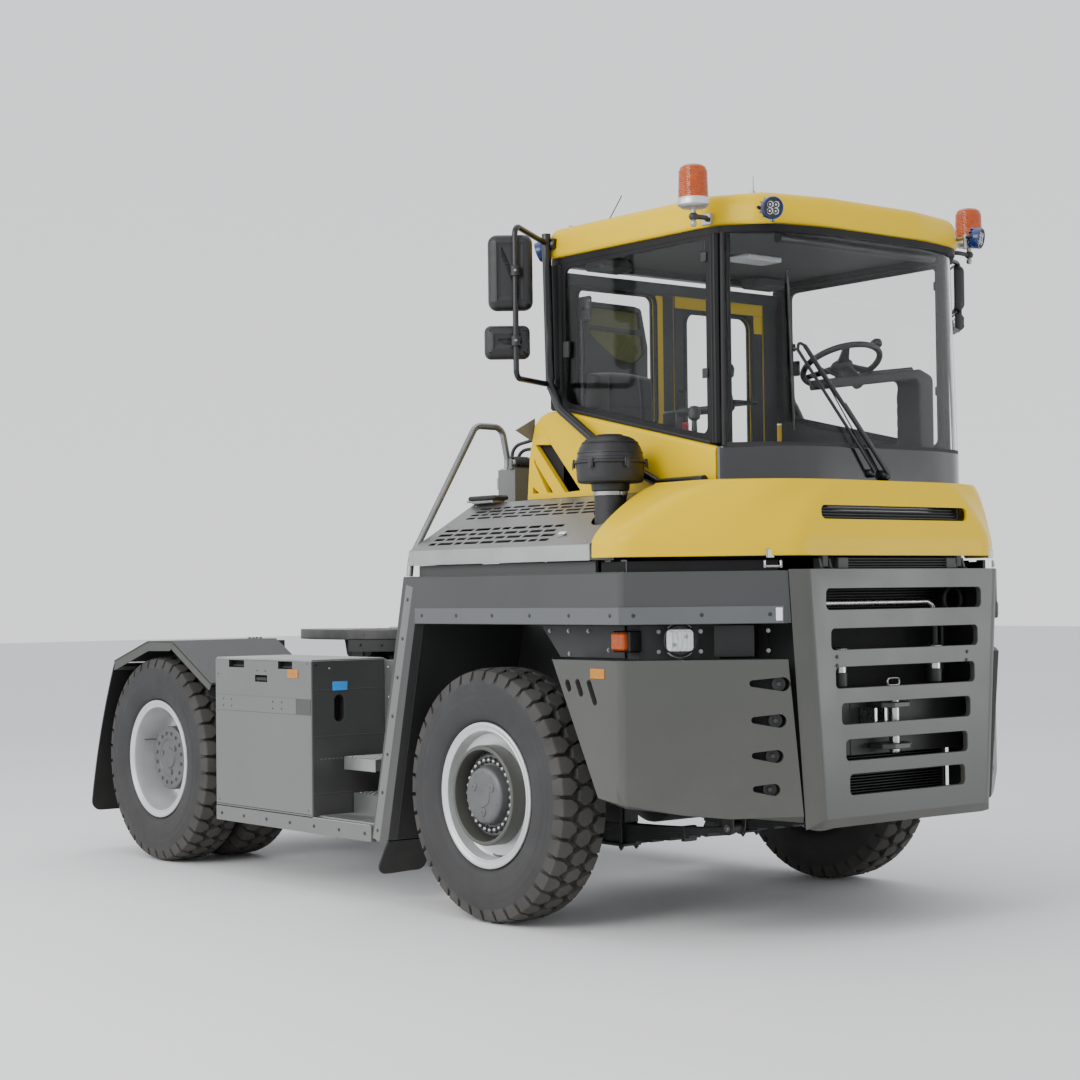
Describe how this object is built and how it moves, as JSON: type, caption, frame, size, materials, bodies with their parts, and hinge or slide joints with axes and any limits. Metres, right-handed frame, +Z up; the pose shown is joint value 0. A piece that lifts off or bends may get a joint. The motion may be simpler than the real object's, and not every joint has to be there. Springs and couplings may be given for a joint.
{
  "type": "terminal tractor",
  "caption": "Four-wheel-drive terminal tractor with a glazed cab over the engine, steered front wheels, twin rear wheels, side steps and a lifting fifth wheel.",
  "frame": {"origin": "on the ground, under the middle of the outline", "axes": "+X to the vehicle's left, +Y to its rear, +Z up"},
  "size_m": [2.54, 5.54, 3.43],
  "materials": {
    "yellow_paint": "gloss yellow paint",
    "olive_paint": "dark olive grey paint",
    "grey_paint": "grey paint",
    "black_paint": "satin black paint",
    "chassis_paint": "dark chassis paint",
    "galvanised": "galvanised sheet",
    "rim_silver": "silver wheel paint",
    "tyre_rubber": "tyre rubber",
    "cast_dark": "dark painted casting",
    "glass_tint": "tinted glass",
    "lamp_glass": "clear lamp lens",
    "amber_lens": "amber lens",
    "blue_housing": "blue lamp housing",
    "black_plastic": "black plastic",
    "seat_cloth": "woven seat cloth",
    "rubber_flap": "black rubber sheet",
    "greased_steel": "worn steel plate",
    "chrome_rod": "hard chrome"
  },
  "bodies": {
    "chassis": {"frame_rails": "chassis_paint", "frame_crossmembers": "chassis_paint", "front_axle": "cast_dark", "front_leaf_springs": "cast_dark", "rear_axle": "cast_dark", "engine_block": "cast_dark", "propshaft": "cast_dark", "radiator": "black_paint", "front_grille": "olive_paint", "tow_coupling": "cast_dark", "bumper_side_panels": "olive_paint", "front_fenders": "olive_paint", "headlamps": "lamp_glass", "signal_lamps": "amber_lens", "deck_covers": "galvanised", "air_precleaner": "black_plastic", "cab_base": "black_paint", "cab_side_panels": "yellow_paint", "cab_pillars": "black_paint", "cab_roof": "yellow_paint", "windscreen": "glass_tint", "cab_windows": "glass_tint", "cab_rear_wall": "yellow_paint", "seat_base": "black_plastic", "seat_cushions": "seat_cloth", "steering_column": "black_plastic", "dashboard": "black_plastic", "cab_guard_rails": "black_paint", "deck_handrails": "galvanised", "rear_platform": "grey_paint", "mirrors": "black_plastic", "roof_beacons": "amber_lens", "work_lamps": "blue_housing", "side_locker_right": "grey_paint", "fuel_tank_left": "grey_paint", "access_steps": "olive_paint", "rear_fenders": "olive_paint", "mud_flaps": "rubber_flap"},
    "bonnet": {"bonnet": "yellow_paint"},
    "rear_door": {"rear_door": "yellow_paint", "rear_door_glass": "glass_tint"},
    "lift_arm": {"lift_arm": "chassis_paint"},
    "fifth_wheel": {"fifth_wheel": "greased_steel"},
    "lift_barrels": {"lift_barrels": "chassis_paint"},
    "lift_rods": {"lift_rods": "chrome_rod"},
    "steer_right": {"knuckle_right": "cast_dark"},
    "steer_left": {"knuckle_left": "cast_dark"},
    "tie_rod": {"tie_rod": "cast_dark"},
    "front_wheel_right": {"front_tyre_right": "tyre_rubber", "front_wheel_right": "rim_silver"},
    "rear_wheels_right": {"rear_tyres_right": "tyre_rubber", "rear_wheels_right": "rim_silver"},
    "front_wheel_left": {"front_tyre_left": "tyre_rubber", "front_wheel_left": "rim_silver"},
    "rear_wheels_left": {"rear_tyres_left": "tyre_rubber", "rear_wheels_left": "rim_silver"}
  },
  "joints": [
    {"name": "steer_right", "type": "hinge", "parent": "chassis", "child": "steer_right", "pos_m": [-0.94, -1.23, 0.6], "axis": [0, 0, 1], "range_deg": [-32, 32]},
    {"name": "steer_left", "type": "hinge", "parent": "chassis", "child": "steer_left", "pos_m": [0.94, -1.23, 0.6], "axis": [0, 0, 1], "range_deg": [-32, 32]},
    {"name": "tie_rod_slide", "type": "slide", "parent": "chassis", "child": "tie_rod", "axis": [1, 0, 0], "range_m": [-0.13, 0.13]},
    {"name": "front_wheel_right_spin", "type": "hinge", "parent": "steer_right", "child": "front_wheel_right", "pos_m": [-1.112, -1.23, 0.6], "axis": [1, 0, 0], "continuous": true},
    {"name": "front_wheel_left_spin", "type": "hinge", "parent": "steer_left", "child": "front_wheel_left", "pos_m": [1.112, -1.23, 0.6], "axis": [1, 0, 0], "continuous": true},
    {"name": "rear_wheels_right_spin", "type": "hinge", "parent": "chassis", "child": "rear_wheels_right", "pos_m": [-0.915, 1.97, 0.6], "axis": [1, 0, 0], "continuous": true},
    {"name": "rear_wheels_left_spin", "type": "hinge", "parent": "chassis", "child": "rear_wheels_left", "pos_m": [0.915, 1.97, 0.6], "axis": [1, 0, 0], "continuous": true},
    {"name": "lift_arm_raise", "type": "hinge", "parent": "chassis", "child": "lift_arm", "pos_m": [0, 0.33, 0.96], "axis": [1, 0, 0], "range_deg": [0, 36]},
    {"name": "fifth_wheel_level", "type": "hinge", "parent": "lift_arm", "child": "fifth_wheel", "pos_m": [0, 1.22, 1.2], "axis": [1, 0, 0], "range_deg": [-36, 0]},
    {"name": "lift_barrel_swing", "type": "hinge", "parent": "chassis", "child": "lift_barrels", "pos_m": [0, 0.76, 0.69], "axis": [1, 0, 0], "range_deg": [0, 37]},
    {"name": "lift_rod_slide", "type": "slide", "parent": "lift_barrels", "child": "lift_rods", "axis": [0, 0.7348, 0.6783], "range_m": [0, 0.32]},
    {"name": "rear_door_swing", "type": "hinge", "parent": "chassis", "child": "rear_door", "pos_m": [0.646, -1.184, 2.4], "axis": [0, 0, -1], "range_deg": [0, 90]},
    {"name": "bonnet_tilt", "type": "hinge", "parent": "chassis", "child": "bonnet", "pos_m": [0, -2.678, 1.668], "axis": [1, 0, 0], "range_deg": [0, 55]}
  ],
  "couplings": [
    {"joint": "steer_left", "follows": "steer_right", "ratio": 1},
    {"joint": "tie_rod_slide", "follows": "steer_right", "m_per_rad": -0.223},
    {"joint": "fifth_wheel_level", "follows": "lift_arm_raise", "ratio": -1},
    {"joint": "lift_barrel_swing", "follows": "lift_arm_raise", "ratio": 1.0068},
    {"joint": "lift_rod_slide", "follows": "lift_arm_raise", "m_per_rad": 0.499}
  ]
}
